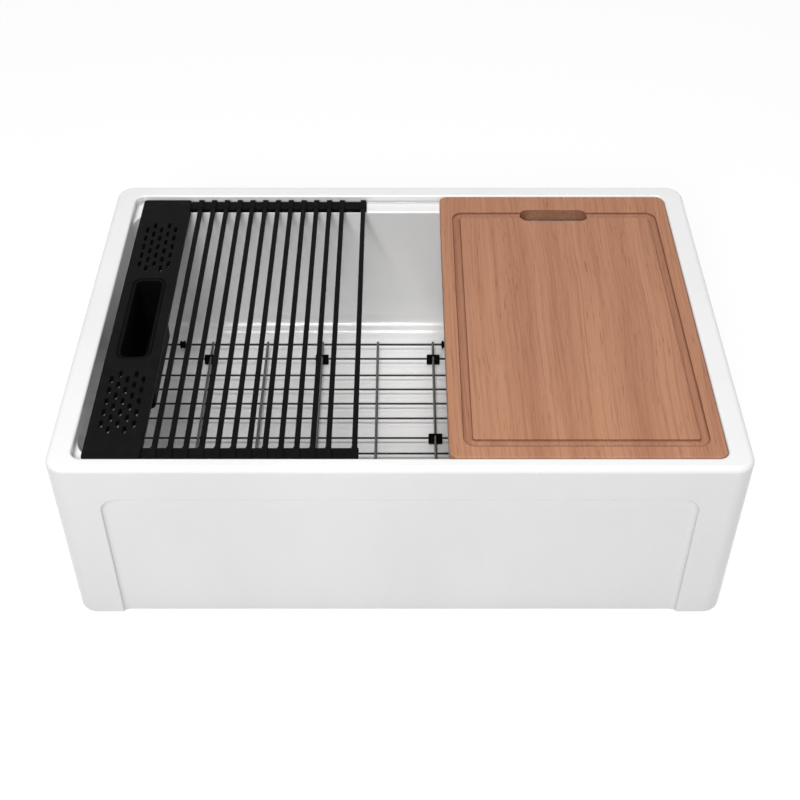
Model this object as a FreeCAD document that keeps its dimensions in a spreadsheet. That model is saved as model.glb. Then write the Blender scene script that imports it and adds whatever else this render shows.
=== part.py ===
import FreeCAD, Part
import math
import os
import re
import Sketcher

# Farmhouse apron front sink with a work ledge, a sliding cutting board, a roll-up drying
# rack with a utensil bin, a welded wire grid on rubber feet and a basket strainer.
# Millimetres. The origin is the centre of the flat underside, +X right, +Y back, +Z up.

doc = FreeCAD.newDocument("ApronSink")

sizes = {
    # sink body
    "sinkWidth": 762.0,
    "sinkDepth": 508.0,
    "sinkHeight": 254.0,
    "bodyCornerRadius": 22.0,
    "topEdgeRadius": 7.0,
    "sideRim": 27.0,
    "frontRim": 17.0,
    "backRim": 23.5,
    "rimCornerRadius": 12.0,
    "rimEdgeRadius": 3.0,
    "ledgeDrop": 10.5,
    "frontLedge": 9.0,
    "backLedge": 22.0,
    "bowlCornerRadius": 32.0,
    "bowlFilletRadius": 26.0,
    "floorThickness": 38.0,
    # sunken panel in the apron, open at the bottom
    "apronPanelWidth": 656.0,
    "apronTopRail": 48.5,
    "apronPanelDepth": 4.8,
    "apronPanelCorner": 12.0,
    "apronBevel": 9.0,
    # drain hole and the pocket under it
    "drainX": 200.0,
    "drainY": 58.0,
    "drainHoleRadius": 45.0,
    "drainWall": 18.0,
    "drainPocketRadius": 66.0,
    "flangeRadius": 57.0,
    "flangeThickness": 2.3,
    "flangeSeatDepth": 2.5,
    "flangeSeatGap": 0.8,
    # strainer
    "strainerCupRadius": 43.5,
    "strainerWall": 2.5,
    "strainerCupDepth": 42.0,
    "tailRadius": 24.0,
    "tailWall": 3.0,
    "tailLength": 22.0,
    "gasketWidth": 14.0,
    "gasketThickness": 3.0,
    "frictionRingThickness": 1.5,
    "locknutThickness": 8.0,
    "locknutWidth": 9.0,
    "locknutLug": 5.0,
    "locknutLugWidth": 12.0,
    "threadGap": 0.05,
    "sealRadius": 26.0,
    "sealThickness": 3.5,
    "basketWallGap": 4.0,
    "basketWall": 1.2,
    "basketHeight": 36.0,
    "basketLipGap": 0.6,
    "basketHoleRadius": 2.2,
    "basketSlotWidth": 3.0,
    "basketSlotLength": 14.0,
    "postRadius": 3.0,
    "postWasherRadius": 8.0,
    "postWasherThickness": 2.5,
    "knobRadius": 11.0,
    "knobThickness": 6.0,
    "knobRise": 1.0,
    # cutting board
    "boardWidth": 300.0,
    "boardSideGap": 1.0,
    "boardGap": 0.7,
    "boardThickness": 19.0,
    "boardTopDrop": 0.3,
    "boardCornerRadius": 10.0,
    "boardEdgeRadius": 1.5,
    "grooveInset": 16.0,
    "grooveBackInset": 35.5,
    "grooveWidth": 10.0,
    "grooveDepth": 4.5,
    "grooveCornerRadius": 13.0,
    "handleLength": 89.5,
    "handleWidth": 24.0,
    # drying rack
    "panelSideGap": 11.0,
    "panelWidth": 63.6,
    "panelThickness": 8.5,
    "panelCornerRadius": 4.0,
    "rackFrontGap": 1.3,
    "rackBackGap": 5.7,
    "firstBarStep": 13.1,
    "barPitch": 17.16,
    "lastBarStep": 28.3,
    "lastLinkTail": 4.5,
    "barWidth": 6.0,
    "barHeight": 6.0,
    "barCornerRadius": 1.6,
    "barUnderlay": 2.0,
    "linkThickness": 6.0,
    "linkDepth": 16.0,
    "linkEndStep": 1.0,
    "linkBumpWall": 0.5,
    "slotWidth": 4.0,
    "slotLength": 11.0,
    "slotStepAcross": 9.1,
    "slotStepAlong": 17.3,
    "slotGroupStep": 138.0,
    "slotGroupShift": -7.5,
    # utensil bin, hung in the rack's end panel
    "binShift": -4.5,
    "binMouthWidth": 32.0,
    "binMouthLength": 136.0,
    "binMouthRadius": 8.0,
    "binWall": 1.8,
    "binDepth": 92.0,
    "binDraft": 2.6,
    "binLipWidth": 4.0,
    "binLipThickness": 1.6,
    "binLipSink": 0.6,
    "binHoleGap": 0.6,
    "binDrainRadius": 3.0,
    "binDrainPitch": 24.0,
    "binFootRadius": 5.0,
    # wire grid on the floor of the bowl
    "gridSideGap": 13.5,
    "gridDepth": 320.0,
    "gridCornerRadius": 14.0,
    "frameWire": 3.0,
    "crossWire": 2.6,
    "longWire": 3.4,
    "weldBite": 0.2,
    "wireRise": 8.0,
    "longLeftGap": 77.45,
    "longRightGap": 62.45,
    "crossFirst": 17.5,
    "crossPitch": 26.95,
    "crossOuter": 131.2,
    "ringGap": 2.0,
    "ringWire": 4.0,
    "footWidth": 18.0,
    "footDepth": 8.0,
    "footHeight": 10.4,
    "footCapRise": 2.6,
    "footCornerRadius": 1.5,
    "bumperRadius": 5.5,
    "bumperLength": 7.0,
    "bumperEndGap": 34.5,
    "bumperWireGap": 15.85,
}

# Counts of what repeats.
barCount = 13
longWireCount = 8
innerCrossWires = 4
locknutLugs = 6
basketHoles = 12
basketSlots = 16
binDrains = 5

sheet = doc.addObject("Spreadsheet::Sheet", "Dims")
for row, (alias, number) in enumerate(sizes.items(), start=1):
    sheet.set("A%d" % row, alias)
    sheet.set("B%d" % row, str(number))
    sheet.setAlias("B%d" % row, alias)
doc.recompute()


# Expressions: each alias gets its sheet's name, and a value is read from the sheet itself.

def onSheet(text):
    return re.sub(r"[A-Za-z]\w*", lambda w: "Dims." + w.group() if w.group() in sizes else w.group(), text)


def value(text):
    return float(sheet.evalExpression(onSheet(text)))


# Places that several pieces share, each as one expression.
openLeft = "(-sinkWidth / 2 + sideRim)"
openRight = "(sinkWidth / 2 - sideRim)"
openFront = "(-sinkDepth / 2 + frontRim)"
openBack = "(sinkDepth / 2 - backRim)"
ledgeTop = "(sinkHeight - ledgeDrop)"
bowlFront = f"({openFront} + frontLedge)"
bowlBack = f"({openBack} - backLedge)"
pocketTop = "(floorThickness - drainWall)"
flangeSeat = "(floorThickness - flangeSeatDepth)"
cupFloor = f"({flangeSeat} - strainerCupDepth)"
rackFront = f"({openFront} + rackFrontGap)"
rackBack = f"({openBack} - rackBackGap)"
rackMiddle = f"(({rackFront} + {rackBack}) / 2)"
panelLeft = f"({openLeft} + panelSideGap)"
panelRight = f"({panelLeft} + panelWidth)"
panelMiddle = f"({panelLeft} + panelWidth / 2)"
panelTop = f"({ledgeTop} + panelThickness)"
binMiddle = f"({rackMiddle} + binShift)"
boardRight = f"({openRight} - boardSideGap)"
boardLeft = f"({boardRight} - boardWidth)"
boardFront = f"({openFront} + boardGap)"
boardBack = f"({openBack} - boardGap)"
boardTop = "(sinkHeight - boardTopDrop)"
gridLeft = f"({openLeft} + gridSideGap)"
gridRight = f"({openRight} - gridSideGap)"
crossWireHeight = "(floorThickness + wireRise)"
longWireHeight = f"({crossWireHeight} + crossWire / 2 + longWire / 2 - weldBite)"
ringRadius = "(flangeRadius + ringGap)"


# Sketch and feature helpers.

def newBody(label):
    body = doc.addObject("PartDesign::Body", label)
    body.Label = label
    return body


def originPlane(body, role):
    return next(item for item in body.Origin.OriginFeatures if item.Role == role)


def newSketch(body, name, role, height="0"):
    # height is measured along the plane's normal: +Z on XY_Plane, -Y on XZ_Plane, +X on YZ_Plane
    sketch = body.newObject("Sketcher::SketchObject", name)
    sketch.AttachmentSupport = [(originPlane(body, role), "")]
    sketch.MapMode = "FlatFace"
    sketch.setExpression("AttachmentOffset.Base.z", onSheet(height))
    return sketch


def tie(sketch, text, *constraint):
    index = sketch.addConstraint(Sketcher.Constraint(*constraint, value(text)))
    sketch.setExpression("Constraints[%d]" % index, onSheet(text))


def tiePoint(sketch, item, point, across=None, up=None):
    # A place on an axis is held by the axis itself, any other by its distance from the origin.
    for kind, axis, text in (("DistanceX", -2, across), ("DistanceY", -1, up)):
        if text is None:
            continue
        if abs(value(text)) < 1e-9:
            sketch.addConstraint(Sketcher.Constraint("PointOnObject", item, point, axis))
        else:
            tie(sketch, text, kind, -1, 1, item, point)


def polygon(sketch, corners):
    points = [FreeCAD.Vector(value(across), value(up), 0) for across, up in corners]
    first = sketch.GeometryCount
    count = len(points)
    for index in range(count):
        sketch.addGeometry(Part.LineSegment(points[index], points[(index + 1) % count]), False)
    for index in range(count):
        following = first + (index + 1) % count
        sketch.addConstraint(Sketcher.Constraint("Coincident", first + index, 2, following, 1))
    for index, (across, up) in enumerate(corners):
        tiePoint(sketch, first + index, 1, across, up)


def circle(sketch, across, up, radius):
    centre = FreeCAD.Vector(value(across), value(up), 0)
    item = sketch.addGeometry(Part.Circle(centre, FreeCAD.Vector(0, 0, 1), value(radius)), False)
    tiePoint(sketch, item, 3, across, up)
    tie(sketch, radius, "Radius", item)


def arc(centreX, centreY, radius, start):
    # a quarter of a circle, anticlockwise from the start angle in degrees
    ring = Part.Circle(FreeCAD.Vector(centreX, centreY, 0), FreeCAD.Vector(0, 0, 1), radius)
    return Part.ArcOfCircle(ring, math.radians(start), math.radians(start + 90))


def roundedRectangle(sketch, left, right, low, high, radius):
    x0, x1, y0, y1, r = (value(text) for text in (left, right, low, high, radius))
    corners = [(x0 + r, y0, x1 - r, y0), (x1, y0 + r, x1, y1 - r), (x1 - r, y1, x0 + r, y1), (x0, y1 - r, x0, y0 + r)]
    centres = [(x1 - r, y0 + r), (x1 - r, y1 - r), (x0 + r, y1 - r), (x0 + r, y0 + r)]
    first = sketch.GeometryCount
    for index in range(4):
        ax, ay, bx, by = corners[index]
        sketch.addGeometry(Part.LineSegment(FreeCAD.Vector(ax, ay, 0), FreeCAD.Vector(bx, by, 0)), False)
        sketch.addGeometry(arc(*centres[index], r, 90 * index - 90), False)
    for index in range(8):
        following = first + (index + 1) % 8
        sketch.addConstraint(Sketcher.Constraint("Tangent", first + index, 2, following, 1))
    for index, kind in enumerate(("Horizontal", "Vertical", "Horizontal", "Vertical")):
        sketch.addConstraint(Sketcher.Constraint(kind, first + 2 * index))
    for index in (3, 5, 7):
        sketch.addConstraint(Sketcher.Constraint("Equal", first + 1, first + index))
    tie(sketch, radius, "Radius", first + 1)
    tiePoint(sketch, first, 1, up=low)
    tiePoint(sketch, first + 2, 1, across=right)
    tiePoint(sketch, first + 4, 1, up=high)
    tiePoint(sketch, first + 6, 1, across=left)


def stadium(sketch, across, up, length, width, upright=False):
    # a slot with half-round ends, long in the sketch's X, or in its Y when upright
    cx, cy = value(across), value(up)
    r = value(width) / 2
    half = value(length) / 2 - r
    turn = 90 if upright else 0
    spin = FreeCAD.Rotation(FreeCAD.Vector(0, 0, 1), turn)
    middle = FreeCAD.Vector(cx, cy, 0)
    near = middle - spin.multVec(FreeCAD.Vector(half, 0, 0))
    far = middle + spin.multVec(FreeCAD.Vector(half, 0, 0))
    side = spin.multVec(FreeCAD.Vector(0, r, 0))
    first = sketch.GeometryCount
    for start, end, centre, angle in ((near - side, far - side, far, turn - 90), (far + side, near + side, near, turn + 90)):
        ring = Part.Circle(centre, FreeCAD.Vector(0, 0, 1), r)
        sketch.addGeometry(Part.LineSegment(start, end), False)
        sketch.addGeometry(Part.ArcOfCircle(ring, math.radians(angle), math.radians(angle + 180)), False)
    for index in range(4):
        following = first + (index + 1) % 4
        sketch.addConstraint(Sketcher.Constraint("Tangent", first + index, 2, following, 1))
    sketch.addConstraint(Sketcher.Constraint("Equal", first + 1, first + 3))
    sketch.addConstraint(Sketcher.Constraint("Vertical" if upright else "Horizontal", first))
    tie(sketch, f"({width}) / 2", "Radius", first + 1)
    reach = f"(({length}) - ({width})) / 2"
    if upright:
        tiePoint(sketch, first + 1, 3, across, f"{up} + {reach}")
        tiePoint(sketch, first + 3, 3, up=f"{up} - {reach}")
    else:
        tiePoint(sketch, first + 1, 3, f"{across} + {reach}", up)
        tiePoint(sketch, first + 3, 3, across=f"{across} - {reach}")


def pad(body, sketch, length):
    feature = body.newObject("PartDesign::Pad", sketch.Name + "Pad")
    feature.Profile = sketch
    feature.setExpression("Length", onSheet(length))
    doc.recompute()
    return feature


def pocket(body, sketch, depth, upward=False):
    # cuts against the sketch's normal, or along it when upward; a cut that takes nothing is an error
    before = body.Tip.Shape.Volume
    feature = body.newObject("PartDesign::Pocket", sketch.Name + "Pocket")
    feature.Profile = sketch
    feature.Reversed = upward
    feature.setExpression("Length", onSheet(depth))
    doc.recompute()
    if not feature.Shape.Volume < before:
        raise RuntimeError(feature.Name + " cuts nothing")
    return feature


def roundEdges(body, name, radius, wanted):
    doc.recompute()
    base = body.Tip
    edges = ["Edge%d" % (index + 1) for index, edge in enumerate(base.Shape.Edges) if wanted(edge)]
    feature = body.newObject("PartDesign::Fillet", name)
    feature.Base = (base, edges)
    feature.setExpression("Radius", onSheet(radius))
    doc.recompute()
    return feature


def revolve(body, corners, name):
    # a closed outline of radius and height turned about the body's own Z axis
    sketch = newSketch(body, name, "XZ_Plane")
    polygon(sketch, corners)
    feature = body.newObject("PartDesign::Revolution", name + "Turned")
    feature.Profile = sketch
    feature.ReferenceAxis = (sketch, ["V_Axis"])
    feature.Angle = 360
    doc.recompute()
    return feature


def polarPattern(body, feature, count, name):
    pattern = body.newObject("PartDesign::PolarPattern", name)
    pattern.Originals = [feature]
    pattern.Axis = (originPlane(body, "Z_Axis"), [""])
    pattern.Angle = 360
    pattern.Occurrences = count
    body.Tip = pattern
    doc.recompute()
    return pattern


def gridPattern(body, feature, name, countAcross, spanAcross, countAlong, spanAlong):
    # repeats a feature in rows along X and columns along Y
    whole = body.newObject("PartDesign::MultiTransform", name)
    whole.Originals = [feature]
    rows = []
    for role, count, span in (("X_Axis", countAcross, spanAcross), ("Y_Axis", countAlong, spanAlong)):
        line = body.newObject("PartDesign::LinearPattern", name + role[0])
        line.Direction = (originPlane(body, role), [""])
        line.Occurrences = count
        line.setExpression("Length", onSheet(span))
        rows.append(line)
    whole.Transformations = rows
    body.Tip = whole
    doc.recompute()
    return whole


def atDrain(body):
    # the strainer's pieces are turned about their own axis and stand at the drain
    body.setExpression("Placement.Base.x", onSheet("drainX"))
    body.setExpression("Placement.Base.y", onSheet("drainY"))
    return body


# Sink body: a thick glazed block with a rim, two work ledges, the bowl, the apron's sunken
# panel and the drain.

def levelEdge(edge, height):
    box = edge.BoundBox
    return abs(box.ZMin - height) < 1e-4 and abs(box.ZMax - height) < 1e-4


def makeSinkBlock():
    body = newBody("sink_block")
    outline = newSketch(body, "SinkOutline", "XY_Plane")
    roundedRectangle(outline, "-sinkWidth / 2", "sinkWidth / 2", "-sinkDepth / 2", "sinkDepth / 2", "bodyCornerRadius")
    pad(body, outline, "sinkHeight")
    mouth = newSketch(body, "RimOpening", "XY_Plane", "sinkHeight")
    roundedRectangle(mouth, openLeft, openRight, openFront, openBack, "rimCornerRadius")
    pocket(body, mouth, "ledgeDrop")
    outer = value("sinkDepth / 2") - value("bodyCornerRadius")
    top = value("sinkHeight")
    roundEdges(body, "OuterTopRound", "topEdgeRadius", lambda edge: levelEdge(edge, top) and
               (abs(edge.CenterOfMass.y) > outer or abs(edge.CenterOfMass.x) > value(openRight) + 1)
               and not insideMouth(edge))
    roundEdges(body, "InnerTopRound", "rimEdgeRadius", lambda edge: levelEdge(edge, top) and insideMouth(edge))
    bowl = newSketch(body, "BowlOutline", "XY_Plane", ledgeTop)
    roundedRectangle(bowl, openLeft, openRight, bowlFront, bowlBack, "bowlCornerRadius")
    pocket(body, bowl, f"{ledgeTop} - floorThickness")
    floor = value("floorThickness")
    roundEdges(body, "BowlFloorRound", "bowlFilletRadius", lambda edge: levelEdge(edge, floor))
    apronPanel(body)
    drainOpening(body)
    return body


def makeSink():
    # The glazed block is kept as two solids that meet at the ledges' level, so that the mouth above
    # the ledges, where the rack and the board lie, is open in each of them.
    block = makeSinkBlock()
    zone = doc.addObject("Part::Box", "RimZone")
    for name, text in (("Length", "2 * sinkWidth"), ("Width", "2 * sinkDepth"), ("Height", "sinkHeight"),
                       ("Placement.Base.x", "-sinkWidth"), ("Placement.Base.y", "-sinkDepth"),
                       ("Placement.Base.z", ledgeTop)):
        zone.setExpression(name, onSheet(text))
    below = doc.addObject("Part::Cut", "sink_body")
    below.Base, below.Tool = block, zone
    rim = doc.addObject("Part::MultiCommon", "sink_rim")
    rim.Shapes = [block, zone]
    doc.recompute()
    return [below, rim]


def insideMouth(edge):
    middle = edge.CenterOfMass
    margin = 1e-3
    inX = value(openLeft) - margin < middle.x < value(openRight) + margin
    inY = value(openFront) - margin < middle.y < value(openBack) + margin
    return inX and inY


def apronPanel(body):
    # The sunken panel is lofted from its wide outline on the face to the narrow one at its depth,
    # and its lower rounded corners lie below the underside, so it runs out open at the bottom.
    outlines = []
    for name, depth, grow in (("ApronFaceOutline", "0", "0"), ("ApronFloorOutline", "apronPanelDepth", "apronBevel")):
        sketch = newSketch(body, name, "XZ_Plane", f"sinkDepth / 2 - {depth}")
        corner = "apronPanelCorner + apronBevel"
        roundedRectangle(sketch, f"-apronPanelWidth / 2 + {grow}", f"apronPanelWidth / 2 - {grow}",
                         f"-3 * ({corner}) + {grow}", f"sinkHeight - apronTopRail - {grow}",
                         f"{corner} - {grow}")
        outlines.append(sketch)
    before = body.Tip.Shape.Volume
    loft = body.newObject("PartDesign::SubtractiveLoft", "ApronPanel")
    loft.Profile = outlines[0]
    loft.Sections = outlines[1:]
    loft.Ruled = True
    doc.recompute()
    if not loft.Shape.Volume < before:
        raise RuntimeError("the apron panel cuts nothing")


def drainOpening(body):
    seat = newSketch(body, "FlangeSeat", "XY_Plane", "floorThickness")
    circle(seat, "drainX", "drainY", "flangeRadius + flangeSeatGap")
    pocket(body, seat, "flangeSeatDepth")
    hole = newSketch(body, "DrainHole", "XY_Plane", flangeSeat)
    circle(hole, "drainX", "drainY", "drainHoleRadius")
    pocket(body, hole, flangeSeat)
    under = newSketch(body, "DrainPocket", "XY_Plane")
    circle(under, "drainX", "drainY", "drainPocketRadius")
    pocket(body, under, pocketTop, upward=True)


# Basket strainer: flanged cup with a threaded tail, clamped to the floor by a gasket, a friction
# ring and a locknut, and the basket that lifts out of it.

def makeStrainerCup():
    body = newBody("strainer_cup")
    cupInner = "(strainerCupRadius - strainerWall)"
    tailInner = "(tailRadius - tailWall)"
    tailEnd = f"({cupFloor} - strainerWall - tailLength)"
    revolve(body, [
        ("flangeRadius", flangeSeat),
        ("flangeRadius", f"{flangeSeat} + flangeThickness"),
        (cupInner, f"{flangeSeat} + flangeThickness"),
        (cupInner, cupFloor),
        (tailInner, cupFloor),
        (tailInner, tailEnd),
        ("tailRadius", tailEnd),
        ("tailRadius", f"{cupFloor} - strainerWall"),
        ("strainerCupRadius", f"{cupFloor} - strainerWall"),
        ("strainerCupRadius", flangeSeat),
    ], "StrainerCup")
    return atDrain(body)


def makeRing(label, inner, outer, low, high):
    body = newBody(label)
    revolve(body, [(inner, low), (outer, low), (outer, high), (inner, high)], label.title().replace("_", ""))
    return atDrain(body)


def makeLocknut():
    low = f"({pocketTop} - gasketThickness - frictionRingThickness - locknutThickness)"
    inner = "(strainerCupRadius + threadGap)"
    body = makeRing("strainer_locknut", inner, f"{inner} + locknutWidth", low, f"{low} + locknutThickness")
    lug = newSketch(body, "LocknutLug", "XY_Plane", low)
    roundedRectangle(lug, f"{inner} + locknutWidth / 2", f"{inner} + locknutWidth + locknutLug",
                     "-locknutLugWidth / 2", "locknutLugWidth / 2", "locknutLug / 4")
    polarPattern(body, pad(body, lug, "locknutThickness"), locknutLugs, "LocknutLugs")
    return body


def makeStrainerFixings():
    inner = "(strainerCupRadius + basketLipGap)"
    gasketLow = f"({pocketTop} - gasketThickness)"
    ringLow = f"({gasketLow} - frictionRingThickness)"
    gasket = makeRing("strainer_gasket", inner, f"{inner} + gasketWidth", gasketLow, pocketTop)
    ring = makeRing("strainer_friction_ring", inner, f"{inner} + gasketWidth - basketWall", ringLow, gasketLow)
    return [gasket, ring, makeLocknut()]


def makeBasket():
    body = newBody("basket_cup")
    low = f"({cupFloor} + sealThickness)"
    top = f"({low} + basketHeight)"
    lip = "(strainerCupRadius - strainerWall - basketLipGap)"
    outer = f"({lip} - basketWallGap)"
    revolve(body, [
        ("postRadius", low),
        (outer, low),
        (outer, f"{top} - basketWall"),
        (lip, f"{top} - basketWall"),
        (lip, top),
        (f"{outer} - basketWall", top),
        (f"{outer} - basketWall", f"{low} + basketWall"),
        ("postRadius", f"{low} + basketWall"),
    ], "BasketCup")
    for name, place in (("OuterHole", "sealRadius + basketWallGap"), ("InnerHole", "sealRadius - 2 * basketWallGap")):
        hole = newSketch(body, name, "XY_Plane", f"{low} + basketWall")
        circle(hole, place, "0", "basketHoleRadius")
        polarPattern(body, pocket(body, hole, "basketWall"), basketHoles, name + "s")
    slot = newSketch(body, "BasketSlot", "YZ_Plane", outer)
    stadium(slot, "0", f"{low} + basketHeight / 2", "basketSlotLength", "basketSlotWidth", upright=True)
    polarPattern(body, pocket(body, slot, "2 * basketWall"), basketSlots, "BasketSlots")
    return atDrain(body)


def makeBasketPost():
    body = newBody("basket_knob")
    low = f"({cupFloor} - postWasherThickness)"
    top = "(floorThickness + knobRise)"
    revolve(body, [
        ("0", low),
        ("postWasherRadius", low),
        ("postWasherRadius", cupFloor),
        ("postRadius", cupFloor),
        ("postRadius", f"{top} - knobThickness"),
        ("knobRadius", f"{top} - knobThickness / 2"),
        ("knobRadius", f"{top} - knobThickness / 6"),
        ("knobRadius - knobThickness / 6", top),
        ("0", top),
    ], "BasketPost")
    return atDrain(body)


def makeBasketSeal():
    return makeRing("basket_seal", "postRadius", "sealRadius", cupFloor, f"{cupFloor} + sealThickness")


# Cutting board: a plate that lies on both ledges, with a thicker core between them, a juice
# groove and a hand slot that the groove's back run passes through.

def makeBoard():
    body = newBody("cutting_board")
    core = newSketch(body, "BoardCore", "XY_Plane", f"{boardTop} - boardThickness")
    roundedRectangle(core, boardLeft, boardRight, f"{bowlFront} + boardGap", f"{bowlBack} - boardGap", "bowlCornerRadius")
    pad(body, core, f"{ledgeTop} - {boardTop} + boardThickness")
    plate = newSketch(body, "BoardPlate", "XY_Plane", ledgeTop)
    roundedRectangle(plate, boardLeft, boardRight, boardFront, boardBack, "boardCornerRadius")
    pad(body, plate, f"{boardTop} - {ledgeTop}")
    top = value(boardTop)
    roundEdges(body, "BoardTopRound", "boardEdgeRadius", lambda edge: levelEdge(edge, top))
    groove = newSketch(body, "JuiceGroove", "XY_Plane", boardTop)
    for inset, radius in (("0", "grooveCornerRadius"), ("grooveWidth", "grooveCornerRadius - grooveWidth")):
        roundedRectangle(groove, f"{boardLeft} + grooveInset + {inset}", f"{boardRight} - grooveInset - {inset}",
                         f"{boardFront} + grooveInset + {inset}", f"{boardBack} - grooveBackInset - {inset}", radius)
    pocket(body, groove, "grooveDepth")
    handle = newSketch(body, "HandSlot", "XY_Plane", boardTop)
    stadium(handle, f"({boardLeft} + {boardRight}) / 2", f"({boardBack} - grooveBackInset - grooveWidth / 2)",
            "handleLength", "handleWidth")
    pocket(body, handle, "2 * boardThickness")
    return body


# Drying rack: an end panel that holds the utensil bin, and thirteen bars joined at both ends by
# links of soft strip. Neighbouring links meet face to face and turn about their top edges.

def makePanel():
    body = newBody("rack_panel")
    outline = newSketch(body, "PanelOutline", "XY_Plane", ledgeTop)
    roundedRectangle(outline, panelLeft, panelRight, rackFront, rackBack, "panelCornerRadius")
    pad(body, outline, "panelThickness")
    binOutlines = (("BinHole", "(binWall + binHoleGap)", panelTop, "panelThickness"),
                   ("BinLipSeat", "(binLipWidth + binHoleGap)", panelTop, "binLipThickness + binLipSink"))
    for name, grow, height, depth in binOutlines:
        sketch = newSketch(body, name, "XY_Plane", height)
        binOutline(sketch, grow)
        pocket(body, sketch, depth)
    for side, sign in (("Back", "1"), ("Front", "-1")):
        middle = f"({rackMiddle} + slotGroupShift + {sign} * slotGroupStep)"
        slotRows(body, side + "Fives", middle, 3, 5)
        slotRows(body, side + "Sixes", middle, 2, 6)
    return body


def slotRows(body, name, middle, columns, rows):
    # columns of five slots alternate with columns of six, half a step along
    sketch = newSketch(body, name, "XY_Plane", panelTop)
    stadium(sketch, f"({panelMiddle} - {columns - 1} * slotStepAcross)", f"({middle} - {(rows - 1) / 2} * slotStepAlong)",
            "slotLength", "slotWidth", upright=True)
    first = pocket(body, sketch, "panelThickness")
    gridPattern(body, first, name + "Slots", columns, f"{2 * (columns - 1)} * slotStepAcross", rows,
                f"{rows - 1} * slotStepAlong")


def binOutline(sketch, grow, round="binMouthRadius"):
    # the bin's mouth, grown on all sides
    roundedRectangle(sketch, f"{panelMiddle} - binMouthWidth / 2 - {grow}", f"{panelMiddle} + binMouthWidth / 2 + {grow}",
                     f"{binMiddle} - binMouthLength / 2 - {grow}", f"{binMiddle} + binMouthLength / 2 + {grow}",
                     f"{round} + {grow}")


def makeBin():
    body = newBody("utensil_bin")
    lipLow = f"({panelTop} - binLipSink - binLipThickness)"
    lipTop = f"({panelTop} - binLipSink)"
    floor = f"({lipTop} - binDepth)"
    drafted(body, "BinShell", "PartDesign::AdditiveLoft", lipTop, floor, "binWall", "(binWall - binDraft)")
    lip = newSketch(body, "BinLip", "XY_Plane", lipLow)
    binOutline(lip, "binLipWidth")
    pad(body, lip, "binLipThickness")
    bottom = value(floor)
    roundEdges(body, "BinFootRound", "binFootRadius", lambda edge: levelEdge(edge, bottom))
    drafted(body, "BinHollow", "PartDesign::SubtractiveLoft", lipTop, f"({floor} + binWall)", "0", "(-binDraft)")
    drains = newSketch(body, "BinDrains", "XY_Plane", f"{floor} + binWall")
    for index in range(binDrains):
        step = index - (binDrains - 1) / 2
        circle(drains, panelMiddle, f"({binMiddle} + {step} * binDrainPitch)", "binDrainRadius")
    pocket(body, drains, "2 * binWall")
    return body


def drafted(body, name, kind, top, low, growTop, growLow):
    sections = []
    for part, height, grow in (("Top", top, growTop), ("Low", low, growLow)):
        sketch = newSketch(body, name + part, "XY_Plane", height)
        binOutline(sketch, grow)
        sections.append(sketch)
    loft = body.newObject(kind, name)
    loft.Profile = sections[0]
    loft.Sections = sections[1:]
    loft.Ruled = True
    doc.recompute()


def barCentre(number):
    # bars are numbered from the panel; the last one stands a wider step away
    if number < barCount:
        return f"({panelRight} + firstBarStep + {number - 1} * barPitch)"
    return f"({panelRight} + firstBarStep + {barCount - 2} * barPitch + lastBarStep)"


def linkLeft(number):
    return panelRight if number == 1 else f"({barCentre(number - 1)} + barPitch / 2)"


def linkRight(number):
    return f"({barCentre(number)} + {'barPitch / 2' if number < barCount else 'lastLinkTail'})"


def barSection(sketch, number):
    low = f"({ledgeTop} + barUnderlay)"
    roundedRectangle(sketch, f"{barCentre(number)} - barWidth / 2", f"{barCentre(number)} + barWidth / 2",
                     low, f"{low} + barHeight", "barCornerRadius")


def makeBar(number):
    body = newBody("rack_bar_%02d" % number)
    sketch = newSketch(body, "BarSection%02d" % number, "XZ_Plane", f"-({rackBack})")
    barSection(sketch, number)
    pad(body, sketch, f"{rackBack} - {rackFront}")
    return body


def makeLink(number):
    # two blocks of strip, one at each end of a bar, each with a bump over the bar
    body = newBody("rack_link_%02d" % number)
    stripTop = f"({ledgeTop} + linkThickness)"
    bumpTop = f"({ledgeTop} + barUnderlay + barHeight + linkBumpWall)"
    bumpLeft = f"({barCentre(number)} - barWidth / 2 - linkBumpWall)"
    bumpRight = f"({barCentre(number)} + barWidth / 2 + linkBumpWall)"
    for end, start in (("Back", f"{rackBack} - linkEndStep"), ("Front", f"{rackFront} + linkEndStep + linkDepth")):
        sketch = newSketch(body, "Link%s%02d" % (end, number), "XZ_Plane", f"-({start})")
        polygon(sketch, [
            (linkLeft(number), ledgeTop), (linkRight(number), ledgeTop), (linkRight(number), stripTop),
            (bumpRight, stripTop), (bumpRight, bumpTop), (bumpLeft, bumpTop), (bumpLeft, stripTop),
            (linkLeft(number), stripTop),
        ])
        barSection(sketch, number)
        pad(body, sketch, "linkDepth")
    return body


# Wire grid: a closed frame wire, cross wires at its level, long wires welded on top, a ring
# around the drain, rubber feet at the crossings and rubber bumpers on the frame.

def makeGridFrame():
    body = newBody("grid_frame")
    path = newSketch(body, "FramePath", "XY_Plane", crossWireHeight)
    roundedRectangle(path, gridLeft, gridRight, "-gridDepth / 2", "gridDepth / 2", "gridCornerRadius")
    section = newSketch(body, "FrameSection", "YZ_Plane")
    circle(section, "-gridDepth / 2", crossWireHeight, "frameWire / 2")
    doc.recompute()
    pipe = body.newObject("PartDesign::AdditivePipe", "FrameWire")
    pipe.Profile = section
    pipe.Spine = (path, ["Edge%d" % (index + 1) for index in range(len(path.Shape.Edges))])
    doc.recompute()
    return body


def crossPlaces():
    inner = [f"(crossFirst + {index} * crossPitch)" for index in range(innerCrossWires)]
    places = inner + ["crossOuter"]
    return ["-" + place for place in reversed(places)] + places


def longPlace(index):
    # evenly spread between the end gaps
    first, last = f"({gridLeft} + longLeftGap)", f"({gridRight} - longRightGap)"
    return f"({first} + ({last} - {first}) * {index} / {longWireCount - 1})"


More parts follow.
